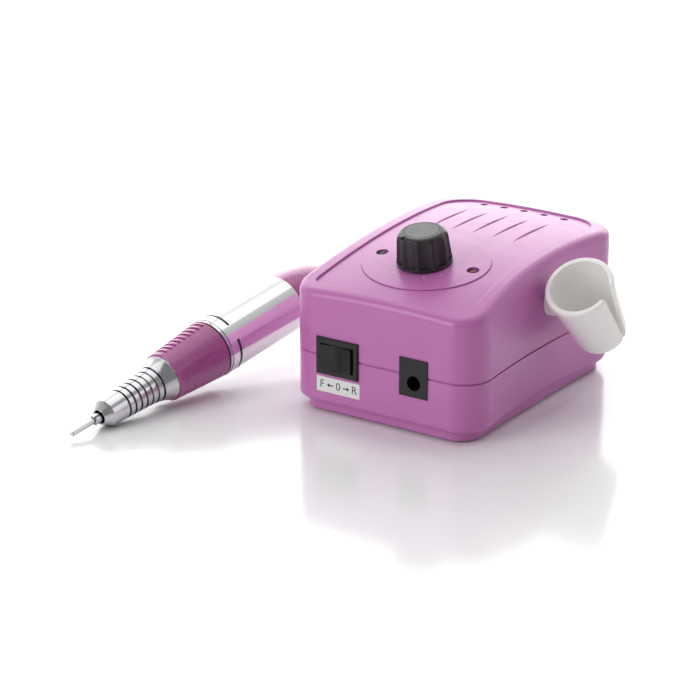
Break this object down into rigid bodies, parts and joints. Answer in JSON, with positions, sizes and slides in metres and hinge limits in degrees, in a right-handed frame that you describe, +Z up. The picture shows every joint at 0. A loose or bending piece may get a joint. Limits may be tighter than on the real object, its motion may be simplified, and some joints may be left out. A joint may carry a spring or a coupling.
{
  "type": "electric nail drill",
  "caption": "Desktop electric nail drill: waisted control box with speed knob, reversing rocker, lamps, socket and swivel holder, and a loose handpiece with twist grip, collet and bit.",
  "frame": {"origin": "on the table under the middle of the footprint of the control box, holder and handpiece together", "axes": "+Z up, -Y the way the control box's front face looks, +X towards the holder's side"},
  "size_m": [0.166, 0.1998, 0.0736],
  "materials": {
    "shell_plastic": "semi-gloss, fine sheen",
    "rubber": "matt",
    "zinc_steel": "zinc plated",
    "label": "printed film, satin",
    "black_plastic": "semi-gloss",
    "circuit_board": "solder resist",
    "component_black": "moulded",
    "capacitor_sleeve": "shrink sleeve",
    "aluminium": "satin",
    "fuse_glass": "clear",
    "core_iron": "laminated",
    "winding_tape": "polyester tape",
    "brass": "plain",
    "dial_ink": "printed",
    "green_lamp": "unlit lens",
    "red_lamp": "lit lens",
    "white_plastic": "smooth",
    "knob_plastic": "satin",
    "cap_grey": "satin",
    "polished_steel": "polished",
    "tube_metal": "polished and clear anodised",
    "arc_ink": "filled groove",
    "grip_plastic": "semi-gloss",
    "magnet": "ferrite",
    "carbon": "carbon",
    "copper": "copper"
  },
  "bodies": {
    "control_box": {"bottom_shell": "shell_plastic", "top_shell": "shell_plastic", "rubber_feet": "rubber", "case_screws": "zinc_steel", "direction_label": "label", "cord_bushing": "black_plastic", "main_board": "circuit_board", "board_screws": "zinc_steel", "rectifier": "component_black", "main_capacitor": "capacitor_sleeve", "heat_sink": "aluminium", "power_transistor": "component_black", "fuse": "fuse_glass", "fuse_clips": "zinc_steel", "transformer_core": "core_iron", "transformer_winding": "winding_tape", "transformer_bracket": "zinc_steel", "bracket_screws": "zinc_steel", "switch_housing": "black_plastic", "switch_terminals": "brass", "handpiece_socket": "black_plastic", "socket_contacts": "brass", "dial_plate": "shell_plastic", "dial_marks": "dial_ink", "power_lamp": "green_lamp", "overload_lamp": "red_lamp", "control_board": "circuit_board", "speed_pot": "zinc_steel", "pot_nut": "zinc_steel", "holder_spacer": "white_plastic"},
    "knob": {"speed_knob": "knob_plastic", "knob_cap": "cap_grey", "pot_shaft": "aluminium"},
    "rocker": {"direction_rocker": "black_plastic"},
    "holder": {"holder_cup": "white_plastic", "holder_stud": "zinc_steel", "holder_nut": "zinc_steel"},
    "handpiece": {"nose_housing": "polished_steel", "spindle_bearings": "polished_steel", "motor_tube": "tube_metal", "index_arcs": "arc_ink", "tail_cap": "grip_plastic", "cord_gland": "rubber", "motor_can": "zinc_steel", "motor_bushes": "brass", "motor_end_cap": "black_plastic", "motor_magnets": "magnet", "motor_brushes": "carbon"},
    "grip": {"twist_grip": "grip_plastic"},
    "sleeve": {"release_sleeve": "zinc_steel"},
    "rotor": {"motor_shaft": "polished_steel", "armature": "core_iron", "commutator": "copper", "drive_dog": "brass", "spindle": "polished_steel", "collet": "polished_steel"},
    "bit": {"drill_bit": "polished_steel"}
  },
  "joints": [
    {"name": "speed_turn", "type": "hinge", "parent": "control_box", "child": "knob", "pos_m": [0.01158, 0.01115, 0.05843], "axis": [0, -0.1679, 0.9858], "range_deg": [-300, 0]},
    {"name": "direction_rock", "type": "hinge", "parent": "control_box", "child": "rocker", "pos_m": [-0.00672, -0.02286, 0.02495], "axis": [0, 0, 1], "range_deg": [-10, 10]},
    {"name": "holder_swivel", "type": "hinge", "parent": "control_box", "child": "holder", "pos_m": [0.06963, 0.03995, 0.04312], "axis": [1, 0, 0], "range_deg": [-38, 45]},
    {"name": "handpiece_lift", "type": "slide", "parent": "control_box", "child": "handpiece", "axis": [0, 0, 1], "range_m": [0, 0.12]},
    {"name": "grip_twist", "type": "hinge", "parent": "handpiece", "child": "grip", "pos_m": [-0.07297, -0.04985, 0.01116], "axis": [0.1064, 0.9796, 0.1702], "range_deg": [0, 35]},
    {"name": "sleeve_push", "type": "slide", "parent": "handpiece", "child": "sleeve", "axis": [0.1064, 0.9796, 0.1702], "range_m": [0, 0.0008]},
    {"name": "rotor_spin", "type": "hinge", "parent": "handpiece", "child": "rotor", "pos_m": [-0.07297, -0.04985, 0.01116], "axis": [0.1064, 0.9796, 0.1702], "continuous": true},
    {"name": "bit_pull", "type": "slide", "parent": "rotor", "child": "bit", "axis": [-0.1064, -0.9796, -0.1702], "range_m": [0, 0.032]}
  ],
  "couplings": [
    {"joint": "sleeve_push", "follows": "grip_twist", "m_per_rad": 0.0013083}
  ]
}
